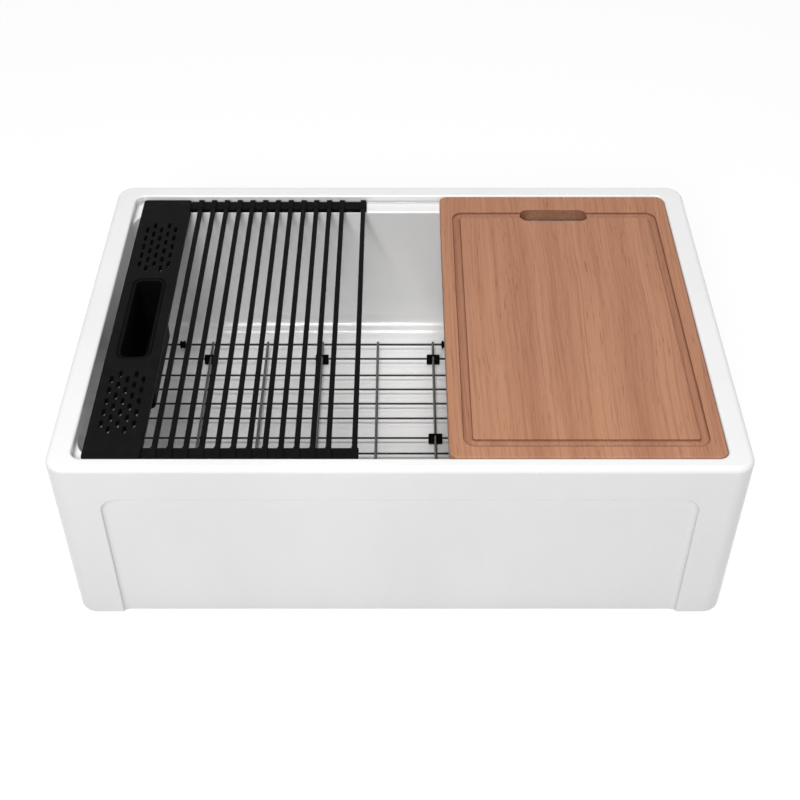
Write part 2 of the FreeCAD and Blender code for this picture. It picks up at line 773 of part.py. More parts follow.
def ringCut(body, name, height):
    # the wires stop inside the drain ring's wire, where they are welded to it
    sketch = newSketch(body, name, "XY_Plane", f"{height} + longWire")
    circle(sketch, "drainX", "drainY", f"{ringRadius} + ringWire / 4")
    pocket(body, sketch, "2 * longWire")


def makeCrossWires():
    body = newBody("grid_cross_wires")
    start = f"({gridLeft} + frameWire / 2 - weldBite)"
    end = f"({gridRight} - frameWire / 2 + weldBite)"
    sketch = newSketch(body, "CrossSections", "YZ_Plane", start)
    for place in crossPlaces():
        circle(sketch, place, crossWireHeight, "crossWire / 2")
    pad(body, sketch, f"{end} - {start}")
    ringCut(body, "CrossRingCut", crossWireHeight)
    return body


def makeLongWires():
    body = newBody("grid_long_wires")
    reach = "(gridDepth / 2 + frameWire / 2)"
    sketch = newSketch(body, "LongSections", "XZ_Plane", f"-{reach}")
    for index in range(longWireCount):
        circle(sketch, longPlace(index), longWireHeight, "longWire / 2")
    pad(body, sketch, f"2 * {reach}")
    ringCut(body, "LongRingCut", longWireHeight)
    return body


def makeDrainRing():
    ring = doc.addObject("Part::Torus", "grid_drain_ring")
    ring.Label = "grid_drain_ring"
    ring.setExpression("Radius1", onSheet(ringRadius))
    ring.setExpression("Radius2", onSheet("ringWire / 2"))
    ring.setExpression("Placement.Base.x", onSheet("drainX"))
    ring.setExpression("Placement.Base.y", onSheet("drainY"))
    ring.setExpression("Placement.Base.z", onSheet(f"{crossWireHeight} + crossWire / 2"))
    return ring


def makeFeet():
    # Each foot wraps a crossing: its front half lies under the long wire, its back half covers it.
    body = newBody("grid_feet")
    columns = (0, 2, 4, 7)
    places = [(longPlace(index), place) for index in columns for place in ("-crossOuter", "crossOuter")]
    places.append((longPlace(4), "-crossFirst"))
    blocks = newSketch(body, "FootBlocks", "XY_Plane", "floorThickness")
    caps = newSketch(body, "FootCaps", "XY_Plane", "floorThickness + footHeight")
    for across, along in places:
        left, right = f"{across} - footWidth / 2", f"{across} + footWidth / 2"
        roundedRectangle(blocks, left, right, f"{along} - footDepth / 2", f"{along} + footDepth / 2", "footCornerRadius")
        roundedRectangle(caps, left, right, along, f"{along} + footDepth / 2", "footCornerRadius")
    pad(body, blocks, "footHeight")
    pad(body, caps, "footCapRise")
    holes = newSketch(body, "FootCrossHoles", "YZ_Plane", gridLeft)
    for place in ("-crossOuter", "crossOuter", "-crossFirst"):
        circle(holes, place, crossWireHeight, "crossWire / 2")
    pocket(body, holes, f"{gridRight} - {gridLeft}", upward=True)
    grooves = newSketch(body, "FootLongHoles", "XZ_Plane", "-gridDepth / 2")
    for index in columns:
        circle(grooves, longPlace(index), longWireHeight, "longWire / 2")
    pocket(body, grooves, "gridDepth", upward=True)
    return body


def makeBumpers():
    body = newBody("grid_bumpers")
    places = (f"{gridLeft} + bumperEndGap", f"{longPlace(4)} + bumperWireGap", f"{gridRight} - bumperEndGap")
    for index, place in enumerate(places):
        sketch = newSketch(body, "Bumper%d" % index, "YZ_Plane", f"{place} - bumperLength / 2")
        for side in ("-gridDepth / 2", "gridDepth / 2"):
            circle(sketch, side, crossWireHeight, "bumperRadius")
            circle(sketch, side, crossWireHeight, "frameWire / 2")
        pad(body, sketch, "bumperLength")
    return body


nodes = makeSink() + [makeStrainerCup()]
nodes += makeStrainerFixings()
nodes += [makeBasket(), makeBasketPost(), makeBasketSeal(), makeBoard(), makePanel(), makeBin()]
for number in range(1, barCount + 1):
    nodes += [makeBar(number), makeLink(number)]
nodes += [makeGridFrame(), makeCrossWires(), makeLongWires(), makeDrainRing(), makeFeet(), makeBumpers()]
doc.recompute()

# Every object has to be sound before anything is written.
for item in doc.Objects:
    if "Invalid" in item.State or "Error" in item.State:
        raise RuntimeError("%s is %s" % (item.Name, item.State))
for node in nodes:
    if node.Shape.isNull() or not node.Shape.isValid():
        raise RuntimeError(node.Label + " has no valid shape")

os.makedirs("parts", exist_ok=True)
for node in nodes:
    node.Shape.exportStep("parts/%s.step" % node.Label)
    print("%-24s solids %3d  volume %12.1f" % (node.Label, len(node.Shape.Solids), node.Shape.Volume))
print(len(nodes), "nodes")
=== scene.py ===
import math

import bmesh
import bpy
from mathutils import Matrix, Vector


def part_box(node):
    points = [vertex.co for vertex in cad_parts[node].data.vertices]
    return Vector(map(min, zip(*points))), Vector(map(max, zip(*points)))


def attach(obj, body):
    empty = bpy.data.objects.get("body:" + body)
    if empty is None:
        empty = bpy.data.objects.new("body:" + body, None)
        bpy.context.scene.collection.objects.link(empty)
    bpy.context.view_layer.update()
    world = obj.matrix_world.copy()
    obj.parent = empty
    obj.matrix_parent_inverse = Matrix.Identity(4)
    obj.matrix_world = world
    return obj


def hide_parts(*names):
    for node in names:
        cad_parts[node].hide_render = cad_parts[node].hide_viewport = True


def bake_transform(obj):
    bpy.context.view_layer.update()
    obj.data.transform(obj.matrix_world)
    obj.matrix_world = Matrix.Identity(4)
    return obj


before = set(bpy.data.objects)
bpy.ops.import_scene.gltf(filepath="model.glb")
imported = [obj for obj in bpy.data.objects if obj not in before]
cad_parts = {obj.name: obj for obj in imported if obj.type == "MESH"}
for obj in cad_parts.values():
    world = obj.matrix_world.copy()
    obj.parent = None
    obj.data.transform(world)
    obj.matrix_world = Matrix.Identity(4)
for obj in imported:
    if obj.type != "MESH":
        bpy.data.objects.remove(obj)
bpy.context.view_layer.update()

print("frame loaded:", len(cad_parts), "nodes")


# ways of working that every piece shares

def mm(value):
    return value / 1000


def nothingSelected():
    bpy.ops.object.select_all(action="DESELECT")


def makeActive(piece):
    nothingSelected()
    piece.select_set(True)
    bpy.context.view_layer.objects.active = piece


def editing(piece):
    makeActive(piece)
    bpy.ops.object.mode_set(mode="EDIT")
    bpy.ops.mesh.select_mode(type="VERT")


def doneEditing():
    bpy.ops.object.mode_set(mode="OBJECT")


def selectWhere(piece, kind, test):
    # kind is verts, edges or faces; the test gets the item's middle and, for a face, its normal
    bpy.ops.mesh.select_mode(type={"verts": "VERT", "edges": "EDGE", "faces": "FACE"}[kind])
    bpy.ops.mesh.select_all(action="DESELECT")
    shape = bmesh.from_edit_mesh(piece.data)
    for item in getattr(shape, kind):
        if kind == "verts":
            picked = test(item.co)
        elif kind == "edges":
            picked = all(test(corner.co) for corner in item.verts)
        else:
            picked = test(item.calc_center_median(), item.normal)
        item.select_set(picked)
    shape.select_flush_mode()
    bmesh.update_edit_mesh(piece.data)


def grown(outline, by):
    left, right, front, back, radius = outline
    return left - by, right + by, front - by, back + by, radius + by


def addOutline(outline, height, steps):
    # one rounded rectangle as a loop of edges, in the mesh being edited
    left, right, front, back, radius = outline
    bpy.ops.mesh.select_all(action="DESELECT")
    bpy.ops.mesh.primitive_plane_add(size=1, location=((left + right) / 2, (front + back) / 2, height))
    bpy.ops.transform.resize(value=(right - left, back - front, 1))
    bpy.ops.mesh.bevel(affect="VERTICES", offset=radius, segments=steps, profile=0.5, clamp_overlap=False)
    bpy.ops.mesh.delete(type="ONLY_FACE")


def addCircle(radius, height, steps, middle):
    bpy.ops.mesh.select_all(action="DESELECT")
    bpy.ops.mesh.primitive_circle_add(vertices=steps, radius=radius, location=(middle[0], middle[1], height))


def openEdges():
    bpy.ops.mesh.select_mode(type="EDGE")
    bpy.ops.mesh.select_all(action="DESELECT")
    bpy.ops.mesh.select_non_manifold()


def stacked(name, levels, addLoop, afterLevel=None):
    # Loops of edges bridged one after another and capped at both ends: a closed solid. Each loop is
    # bridged from well above the last one and then lowered, so that level loops don't cross.
    lift = mm(60)
    nothingSelected()
    bpy.ops.mesh.primitive_plane_add(size=1)
    piece = bpy.context.object
    piece.name = piece.data.name = name
    editing(piece)
    bpy.ops.mesh.select_all(action="SELECT")
    bpy.ops.mesh.delete(type="VERT")
    start = levels[0][1]
    for number, (shape, height) in enumerate(levels):
        bpy.ops.mesh.select_mode(type="VERT")
        addLoop(shape, start)
        openEdges()
        if number == 0:
            bpy.ops.mesh.edge_face_add()
        else:
            bpy.ops.mesh.bridge_edge_loops()
            openEdges()
            bpy.ops.transform.translate(value=(0, 0, height - start))
        if afterLevel:
            afterLevel(piece, shape, height)
        start = height + lift
    openEdges()
    bpy.ops.mesh.edge_face_add()
    bpy.ops.mesh.select_all(action="SELECT")
    bpy.ops.mesh.remove_doubles(threshold=1e-6)
    bpy.ops.mesh.normals_make_consistent(inside=False)
    doneEditing()
    return piece


def roundedStack(name, levels, steps, afterLevel=None):
    return stacked(name, levels, lambda outline, height: addOutline(outline, height, steps), afterLevel)


def roundStack(name, levels, middle, steps):
    return stacked(name, levels, lambda radius, height: addCircle(radius, height, steps, middle))


def quarter(steps):
    return [math.radians(90 * step / steps) for step in range(steps + 1)]


def edgeDown(outline, top, radius, steps):
    # an outline whose upper edge is rounded, from the wall up to the flat
    return [(grown(outline, radius * (math.cos(turn) - 1)), top - radius + radius * math.sin(turn))
            for turn in quarter(steps)]


def edgeUp(outline, low, radius, steps):
    # the same for a lower edge, from the flat up to the wall
    return [(grown(outline, radius * (math.sin(turn) - 1)), low + radius - radius * math.cos(turn))
            for turn in quarter(steps)]


def applyAll(piece):
    makeActive(piece)
    for modifier in list(piece.modifiers):
        bpy.ops.object.modifier_apply(modifier=modifier.name)


def cutWith(piece, cutter):
    makeActive(piece)
    cut = piece.modifiers.new("cut", "BOOLEAN")
    cut.operation, cut.solver, cut.object = "DIFFERENCE", "EXACT", cutter
    applyAll(piece)
    mesh = cutter.data
    bpy.data.objects.remove(cutter)
    bpy.data.meshes.remove(mesh)


def placeInMesh(piece):
    makeActive(piece)
    bpy.ops.object.transform_apply(location=True, rotation=True, scale=True)


def repeated(piece, step, count):
    makeActive(piece)
    row = piece.modifiers.new("row", "ARRAY")
    row.count, row.use_relative_offset, row.use_constant_offset = count, False, True
    row.constant_offset_displace = step
    applyAll(piece)


def copied(piece, name, shift):
    other = piece.copy()
    other.data = piece.data.copy()
    other.name = other.data.name = name
    bpy.context.scene.collection.objects.link(other)
    other.location = shift
    placeInMesh(other)
    return other


def joined(pieces, name):
    nothingSelected()
    for piece in pieces:
        piece.select_set(True)
    bpy.context.view_layer.objects.active = pieces[0]
    bpy.ops.object.join()
    pieces[0].name = pieces[0].data.name = name
    return pieces[0]


def softEdges(piece, width, segments, angle):
    makeActive(piece)
    bevel = piece.modifiers.new("softEdges", "BEVEL")
    bevel.width, bevel.segments, bevel.limit_method = mm(width), segments, "ANGLE"
    bevel.angle_limit = math.radians(angle)
    bevel.use_clamp_overlap = True
    bevel.miter_outer = "MITER_ARC"
    applyAll(piece)


def smoothShaded(piece, angle):
    makeActive(piece)
    bpy.ops.object.shade_smooth_by_angle(angle=math.radians(angle), keep_sharp_edges=False)
    weighted = piece.modifiers.new("weighted", "WEIGHTED_NORMAL")
    weighted.mode, weighted.weight, weighted.keep_sharp = "FACE_AREA", 50, True
    applyAll(piece)


def finished(piece, body, slotName, material, *nodes):
    piece.data.materials.clear()
    piece.data.materials.append(material)
    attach(piece, body)
    if nodes:
        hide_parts(*nodes)
    print("made", piece.name, len(piece.data.polygons), "faces")
    return piece


# materials: nodes are added by type, with their inputs by name

class Finish:
    def __init__(self, name):
        self.material = bpy.data.materials.new(name)
        self.material.use_nodes = True
        self.tree = self.material.node_tree
        self.shader = self.tree.nodes["Principled BSDF"]
        self.place = self.tree.nodes.new("ShaderNodeTexCoord").outputs["Object"]

    def add(self, kind, inputs=None, **settings):
        node = self.tree.nodes.new("ShaderNode" + kind)
        for key, setting in settings.items():
            setattr(node, key, setting)
        for key, source in (inputs or {}).items():
            self.put(source, node.inputs[key])
        return node

    def put(self, source, socket):
        if isinstance(source, bpy.types.NodeSocket):
            self.tree.links.new(source, socket)
        else:
            socket.default_value = source

    def give(self, **values):
        for key, source in values.items():
            self.put(source, self.shader.inputs[key.replace("_", " ")])

    def noise(self, scale, detail, roughness=0.5, stretch=None, place=None):
        vector = self.place if place is None else place
        if stretch:
            vector = self.add("Mapping", {"Vector": vector, "Scale": stretch}).outputs["Vector"]
        return self.add("TexNoise", {"Vector": vector, "Scale": scale, "Detail": detail,
                                     "Roughness": roughness}).outputs["Fac"]

    def between(self, factor, fromLow, fromHigh, toLow, toHigh):
        return self.add("MapRange", {"Value": factor, "From Min": fromLow, "From Max": fromHigh,
                                     "To Min": toLow, "To Max": toHigh}).outputs["Result"]

    def mixed(self, factor, first, second):
        node = self.add("Mix", data_type="RGBA")
        self.put(factor, node.inputs[0])
        self.put(first, node.inputs[6])
        self.put(second, node.inputs[7])
        return node.outputs[2]

    def bumped(self, height, strength, distance, under=None):
        inputs = {"Height": height, "Strength": strength, "Distance": mm(distance)}
        if under:
            inputs["Normal"] = under
        return self.add("Bump", inputs).outputs["Normal"]


# the crease colour is painted shade for tight inner corners
glaze = {"pale": (0.93, 0.93, 0.93, 1), "shade": (0.885, 0.887, 0.885, 1), "crease": (0.5, 0.5, 0.5, 1),
         "creaseReach": 5.0, "gloss": 0.16, "wave": 0.25, "peel": 0.03}


def glazeFinish():
    finish = Finish("whiteGlaze")
    cloudy = finish.noise(7.0, 4.0, 0.6, stretch=(1, 1, 0.35))
    fine = finish.noise(900.0, 2.0)
    # painted shade: tight inner corners are darkened towards the grey crease colour by an ambient occlusion mask
    hollowShade = finish.add("AmbientOcclusion", {"Distance": mm(glaze["creaseReach"])}, samples=6, only_local=True)
    creaseShadeMask = finish.between(hollowShade.outputs["AO"], 0.72, 0.95, 1, 0)
    clouded = finish.mixed(finish.between(cloudy, 0.35, 0.7, 0, 1), glaze["pale"], glaze["shade"])
    finish.give(Base_Color=finish.mixed(creaseShadeMask, clouded, glaze["crease"]),
                Roughness=finish.between(cloudy, 0.3, 0.7, glaze["gloss"], glaze["gloss"] + 0.1),
                Coat_Weight=0.3, Coat_Roughness=0.08)
    waved = finish.bumped(finish.noise(14.0, 1.0), 0.4, glaze["wave"])
    finish.give(Normal=finish.bumped(fine, 0.25, glaze["peel"], waved))
    return finish.material


# the hollow colour and its reach are painted shade for the groove's walls and the hand slot
wood = {"middle": (0.47, 0.225, 0.13, 1), "light": (0.54, 0.275, 0.16, 1), "dark": (0.35, 0.15, 0.085, 1),
        "pore": (0.22, 0.09, 0.048, 1), "hollowShade": (0.07, 0.022, 0.01, 1), "hollowReach": 24.0}


def woodFinish():
    finish = Finish("redHardwood")
    # the grain runs front to back, so every pattern is drawn out along Y
    warp = finish.noise(3.2, 2.0, 0.5, stretch=(1, 0.5, 1))
    shift = finish.add("VectorMath", {0: finish.place, 1: finish.add(
        "CombineXYZ", {"X": finish.between(warp, 0, 1, -0.03, 0.03)}).outputs[0]}, operation="ADD").outputs[0]

    def along(detail, rough, across, down):
        return finish.noise(1.0, detail, rough, stretch=(across, down, across), place=shift)

    bands = along(3.0, 0.55, 24.0, 1.1)
    streaks = along(4.0, 0.6, 110.0, 2.6)
    fibre = along(3.0, 0.6, 900.0, 14.0)
    pores = along(2.0, 0.5, 700.0, 32.0)
    lines = along(2.0, 0.5, 380.0, 3.0)
    colour = finish.mixed(finish.between(bands, 0.36, 0.64, 0, 1), wood["dark"], wood["light"])
    colour = finish.mixed(0.5, colour, wood["middle"])
    colour = finish.mixed(finish.between(lines, 0.5, 0.64, 0, 0.6), colour, wood["dark"])
    colour = finish.mixed(finish.between(streaks, 0.5, 0.7, 0, 0.55), colour, wood["dark"])
    colour = finish.mixed(finish.between(fibre, 0.45, 0.7, 0, 0.5), colour, wood["light"])
    colour = finish.mixed(finish.between(pores, 0.6, 0.74, 0, 0.6), colour, wood["pore"])
    # painted shade: the groove's walls and the hand slot are darkened towards the hollow colour by an ambient occlusion
    # mask
    hollowShade = finish.add("AmbientOcclusion", {"Distance": mm(wood["hollowReach"])}, samples=6, only_local=True)
    colour = finish.mixed(finish.between(hollowShade.outputs["AO"], 0.35, 0.85, 0.9, 0), colour, wood["hollowShade"])
    finish.give(Base_Color=colour, Roughness=finish.between(fibre, 0.3, 0.7, 0.5, 0.62), Specular_IOR_Level=0.25)
    finish.give(Normal=finish.bumped(finish.mixed(0.5, fibre, pores), 0.3, 0.12))
    return finish.material


dark = {"panel": (0.0032, 0.0032, 0.0034, 1), "bar": (0.0018, 0.0018, 0.0018, 1), "strip": (0.0028, 0.0028, 0.0028, 1),
        "bin": (0.0025, 0.0025, 0.0025, 1), "rubber": (0.003, 0.003, 0.003, 1)}


def darkFinish(name, colour, gloss, grain, depth, shine=0.045):
    finish = Finish(name)
    mottle = finish.noise(60.0, 3.0, 0.6)
    grainNoise = finish.noise(grain, 2.0, 0.6)
    pale = tuple(min(1, part * 1.5 + 0.001) for part in colour[:3]) + (1,)
    finish.give(Base_Color=finish.mixed(finish.between(mottle, 0.35, 0.7, 0, 1), colour, pale),
                Roughness=finish.between(grainNoise, 0.3, 0.7, gloss, gloss + 0.12), Specular_IOR_Level=shine)
    finish.give(Normal=finish.bumped(grainNoise, 0.35, depth))
    return finish.material


# painted shade and painted reflection: the grid's one steel is split into a near-black copy for the cross wires and
# frame and a lighter copy for the long wires
metal = {"crossWire": (0.03, 0.03, 0.031, 1), "longWire": (0.2, 0.2, 0.2, 1), "strainer": (0.62, 0.62, 0.61, 1),
         "nut": (0.62, 0.45, 0.2, 1), "wornShare": 0.75}


def steelFinish(name, colour, gloss, stretch):
    finish = Finish(name)
    brushed = finish.noise(1.0, 3.0, 0.6, stretch=stretch)
    stain = finish.noise(30.0, 3.0, 0.6)
    worn = tuple(part * metal["wornShare"] for part in colour[:3]) + (1,)
    finish.give(Base_Color=finish.mixed(finish.between(stain, 0.4, 0.8, 0, 1), colour, worn), Metallic=1.0,
                Roughness=finish.between(brushed, 0.3, 0.7, gloss, gloss + 0.15))
    finish.give(Normal=finish.bumped(brushed, 0.2, 0.02))
    return finish.material


ring = {"dark": (0.42, 0.29, 0.16, 1), "light": (0.58, 0.44, 0.28, 1), "rough": 0.9}


def fibreFinish():
    finish = Finish("pressedFibre")
    flecks = finish.noise(500.0, 4.0, 0.7)
    colour = finish.mixed(finish.between(flecks, 0.3, 0.7, 0, 1), ring["dark"], ring["light"])
    finish.give(Base_Color=colour, Roughness=ring["rough"])
    finish.give(Normal=finish.bumped(flecks, 0.5, 0.2))
    return finish.material


finishes = {
    "glaze": glazeFinish(), "wood": woodFinish(),
    "panel": darkFinish("panelBlack", dark["panel"], 0.5, 500.0, 0.05),
    "bar": darkFinish("barBlack", dark["bar"], 0.42, 700.0, 0.03, 0.05),
    "strip": darkFinish("stripBlack", dark["strip"], 0.6, 600.0, 0.05),
    "bin": darkFinish("binBlack", dark["bin"], 0.55, 400.0, 0.05, 0.03),
    "rubber": darkFinish("footRubber", dark["rubber"], 0.7, 500.0, 0.08, 0.04),
    "crossWire": steelFinish("crossWireSteel", metal["crossWire"], 0.3, (20, 900, 900)),
    "longWire": steelFinish("longWireSteel", metal["longWire"], 0.28, (900, 20, 900)),
    "strainer": steelFinish("strainerSteel", metal["strainer"], 0.2, (600, 600, 40)),
    "nut": steelFinish("nutBrass", metal["nut"], 0.35, (400, 400, 60)),
    "fibre": fibreFinish(),
}
print("finishes ready:", len(finishes))


# sink body: one stack of outlines from the underside over the rim and down to the bowl's floor

sinkShape = {
    "corner": 22.0, "baseRound": 3.0, "topRound": 7.0,
    "sideRim": 27.0, "frontRim": 17.0, "backRim": 23.5, "mouthCorner": 12.0, "mouthRound": 3.0,
    "ledgeDrop": 10.5, "frontLedge": 9.0, "backLedge": 22.0, "ledgeRound": 2.5, "ledgeCove": 1.2,
    "bowlCorner": 32.0, "bowlCove": 26.0, "floor": 38.0,
    "panelHalf": 328.0, "panelRail": 48.5, "panelDepth": 4.8, "panelCorner": 12.0, "panelSlope": 9.0,
    "lipShare": 0.14, "creaseShare": 0.62,
    "drain": (200.0, 58.0), "hole": 45.0, "seat": 57.8, "seatDepth": 2.5, "pocket": 66.0, "wall": 18.0,
    "seatFlare": 0.8, "flareHigh": 0.5,
}


sinkNodes = [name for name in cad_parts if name.startswith("sink_")]


def makeSink():
    size = {key: mm(value) for key, value in sinkShape.items() if key != "drain"}
    low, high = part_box("sink_body")
    top = max(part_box(name)[1].z for name in sinkNodes)
    body = (low.x, high.x, low.y, high.y, size["corner"])
    mouth = (low.x + size["sideRim"], high.x - size["sideRim"], low.y + size["frontRim"],
             high.y - size["backRim"], size["mouthCorner"])
    ledgeTop = top - size["ledgeDrop"]
    bowl = (mouth[0], mouth[1], mouth[2] + size["frontLedge"], mouth[3] - size["backLedge"], size["bowlCorner"])
    levels = edgeUp(body, low.z, size["baseRound"], 3)
    levels += edgeDown(body, top, size["topRound"], 6)
    edge = size["mouthRound"]
    levels += [(grown(mouth, edge * (1 - math.sin(turn))), top - edge + edge * math.cos(turn)) for turn in quarter(5)]
    cove = size["ledgeCove"]  # only at the front and back, where the ledges are
    for turn in quarter(3):
        inward = cove * (1 - math.cos(turn))
        levels.append(((mouth[0], mouth[1], mouth[2] + inward, mouth[3] - inward, mouth[4]),
                       ledgeTop + cove - cove * math.sin(turn)))
    edge = size["ledgeRound"]
    levels += [(grown(bowl, edge * (1 - math.sin(turn))), ledgeTop - edge + edge * math.cos(turn))
               for turn in quarter(4)]
    cove = size["bowlCove"]
    levels += [(grown(bowl, cove * (math.cos(turn) - 1)), size["floor"] + cove - cove * math.sin(turn))
               for turn in quarter(9)]

    def heldByWall(piece, outline, height):
        # the ledge's rounded edge runs out into the side walls, so nothing passes them
        if not (height <= ledgeTop + 1e-6 and outline[0] < mouth[0] - 1e-6):
            return
        for side, wall in ((-1, mouth[0]), (1, mouth[1])):
            selectWhere(piece, "verts", lambda place: abs(place.z - height) < 1e-6 and side * (place.x - wall) > 1e-7
                        and mouth[2] + 0.01 < place.y < mouth[3] - 0.01)
            bpy.ops.transform.resize(value=(0, 1, 1), center_override=(wall, 0, height))
        bpy.ops.mesh.select_all(action="DESELECT")

    sink = roundedStack("sinkBody", levels, 12, heldByWall)

    # the apron's sunken panel: a lip that turns down steeply to a crease, then a broad cove, open at the bottom
    half, depth, slope = size["panelHalf"], size["panelDepth"], size["panelSlope"]
    panelTop = top - size["panelRail"]
    corner = size["panelCorner"] + slope
    face = (-half, half, low.z - 3 * corner, panelTop, corner)
    sections = [(grown(face, mm(1)), -low.y + mm(6))]
    lipShare, creaseShare = sinkShape["lipShare"], sinkShape["creaseShare"]
    for turn in quarter(5):
        along, sunk = lipShare * turn / (math.pi / 2), creaseShare * (1 - math.cos(turn))
        sections.append((grown(face, -slope * along), -low.y - depth * sunk))
    for turn in quarter(6)[1:]:
        along = lipShare + (1 - lipShare) * turn / (math.pi / 2)
        sunk = creaseShare + (1 - creaseShare) * math.sin(turn)
        sections.append((grown(face, -slope * along), -low.y - depth * sunk))
    panelCutter = roundedStack("panelCutter", sections, 8)
    panelCutter.rotation_euler = (math.radians(90), 0, 0)
    placeInMesh(panelCutter)
    cutWith(sink, panelCutter)

    floor, seat = size["floor"], size["floor"] - size["seatDepth"]
    roof, flare = floor - size["wall"], size["seat"] + size["seatFlare"]
    holes = [(size["pocket"], low.z - mm(5)), (size["pocket"], roof), (size["hole"], roof), (size["hole"], seat),
             (size["seat"], seat), (size["seat"], floor), (flare, floor + size["flareHigh"]), (flare, floor + mm(5))]
    cutWith(sink, roundStack("drainCutter", holes, [mm(part) for part in sinkShape["drain"]], 72))
    smoothShaded(sink, 34)
    return finished(sink, "sink", "sink_glaze", finishes["glaze"], *sinkNodes)


makeSink()


# cutting board: a plate on both ledges, a core between them, a round-bottomed groove and a hand slot

boardShape = {"corner": 10.0, "edge": 1.6, "coreCorner": 32.0, "coreFront": 9.0, "coreBack": 22.0, "plate": 10.2,
              "underRound": 1.5, "grooveIn": 16.0, "grooveBack": 35.5, "grooveWide": 10.0, "grooveDeep": 4.5,
              "grooveWall": 1.8, "grooveCorner": 13.0, "grooveFlare": 0.6, "grooveEase": 0.25, "easeDeep": 0.3,
              "slotLong": 89.5, "slotWide": 24.0, "slotRound": 1.5}


def makeBoard():
    size = {key: mm(value) for key, value in boardShape.items()}
    low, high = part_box("cutting_board")
    plate = (low.x, high.x, low.y, high.y, size["corner"])
    core = (low.x, high.x, low.y + size["coreFront"], high.y - size["coreBack"], size["coreCorner"])
    shelf = high.z - size["plate"]
    levels = edgeUp(core, low.z, size["underRound"], 2) + [(core, shelf), (plate, shelf)]
    levels += edgeDown(plate, high.z, size["edge"], 4)
    board = roundedStack("cuttingBoard", levels, 10)

    inset, wide, deep, straight = size["grooveIn"], size["grooveWide"], size["grooveDeep"], size["grooveWall"]
    groove = (low.x + inset, high.x - inset, low.y + inset, high.y - size["grooveBack"], size["grooveCorner"])
    # both of the groove's rims are eased by a small slope
    flare, ease, eased = size["grooveFlare"], size["grooveEase"], high.z - size["easeDeep"]
    run = [(grown(groove, flare), high.z + mm(2)), (grown(groove, flare), high.z + mm(0.2)),
           (grown(groove, ease), eased)]
    steps = 8
    for step in range(steps + 1):
        turn = math.pi * step / steps
        run.append((grown(groove, -wide / 2 * (1 - math.cos(turn))),
                    high.z - straight - (deep - straight) * math.sin(turn)))
    run += [(grown(groove, -wide - ease), eased), (grown(groove, -wide - flare), high.z + mm(0.2)),
            (grown(groove, -wide - flare), high.z + mm(1))]
    cutWith(board, roundedStack("grooveCutter", run, 8))

    reach, half = size["slotLong"] / 2, size["slotWide"] / 2 - mm(0.01)
    middleX, middleY = (low.x + high.x) / 2, high.y - size["grooveBack"] - wide / 2
    slot = (middleX - reach, middleX + reach, middleY - half, middleY + half, half - mm(0.01))
    edge = size["slotRound"]
    levels = [(grown(slot, edge), low.z - mm(1))]
    levels += [(grown(slot, edge * (1 - math.sin(turn))), low.z + edge - edge * math.cos(turn)) for turn in quarter(3)]
    levels += [(grown(slot, edge * (1 - math.cos(turn))), high.z - edge + edge * math.sin(turn)) for turn in quarter(4)]
    levels += [(grown(slot, edge), high.z + mm(1))]
    cutWith(board, roundedStack("slotCutter", levels, 12))
    smoothShaded(board, 38)
    return finished(board, "board", "board_wood", finishes["wood"], "cutting_board")


makeBoard()


# drying rack: end panel with the bin's mouth and two fields of slots, bars, and soft strips

rackShape = {"corner": 4.0, "edge": 1.2, "slotLong": 11.0, "slotWide": 4.0, "across": 9.1, "along": 17.3,
             "fieldStep": 138.0, "fieldShift": -7.5, "mouthRound": 8.0, "holeGap": 0.6, "wall": 1.8, "lip": 4.0,
             "lipDeep": 2.2, "mouthWide": 32.0, "mouthLong": 136.0, "binShift": -4.5,
             "underEdge": 0.6, "seatEdge": 0.5, "slotEdge": 0.4}


def makePanel():
    size = {key: mm(value) for key, value in rackShape.items()}
    low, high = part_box("rack_panel")
    outline = (low.x, high.x, low.y, high.y, size["corner"])
    levels = edgeUp(outline, low.z, size["underEdge"], 2) + edgeDown(outline, high.z, size["edge"], 4)
    panel = roundedStack("rackPanel", levels, 6)
    middleX, middleY = (low.x + high.x) / 2, (low.y + high.y) / 2
    mouthY = middleY + size["binShift"]
    mouth = (middleX - size["mouthWide"] / 2, middleX + size["mouthWide"] / 2,
             mouthY - size["mouthLong"] / 2, mouthY + size["mouthLong"] / 2, size["mouthRound"])
    hole, seat = grown(mouth, size["wall"] + size["holeGap"]), grown(mouth, size["lip"] + size["holeGap"])
    shelf, edge = high.z - size["lipDeep"], size["seatEdge"]
    cutWith(panel, roundedStack("mouthCutter", [(hole, low.z - mm(2)), (hole, shelf), (seat, shelf),
                                                (seat, high.z - edge), (grown(seat, edge), high.z),
                                                (grown(seat, edge), high.z + mm(2))], 8))
    wide, long = size["slotWide"] / 2 - mm(0.01), size["slotLong"] / 2
    for sign in (1, -1):
        field = middleY + size["fieldShift"] + sign * size["fieldStep"]
        for columns, rows in ((3, 5), (2, 6)):
            x = middleX - (columns - 1) * size["across"]
            y = field - (rows - 1) / 2 * size["along"]
            slot = (x - wide, x + wide, y - long, y + long, wide - mm(0.01))
            opened = grown(slot, size["slotEdge"])
            cutter = roundedStack("slotCutter", [(slot, low.z - mm(2)), (slot, high.z - size["slotEdge"]),
                                                 (opened, high.z), (opened, high.z + mm(2))], 4)
            repeated(cutter, (2 * size["across"], 0, 0), columns)
            repeated(cutter, (0, size["along"], 0), rows)
            cutWith(panel, cutter)
    smoothShaded(panel, 38)
    return finished(panel, "panel", "panel_black", finishes["panel"], "rack_panel")


makePanel()


# utensil bin: drafted walls under a flat lip, a rounded foot and five drain holes

binShape = {"draft": 2.6, "foot": 5.0, "lipThick": 1.6, "lipUnder": 0.3, "lipEdge": 0.5, "innerEdge": 0.6,
            "drain": 3.0, "drainStep": 24.0, "drains": 5}


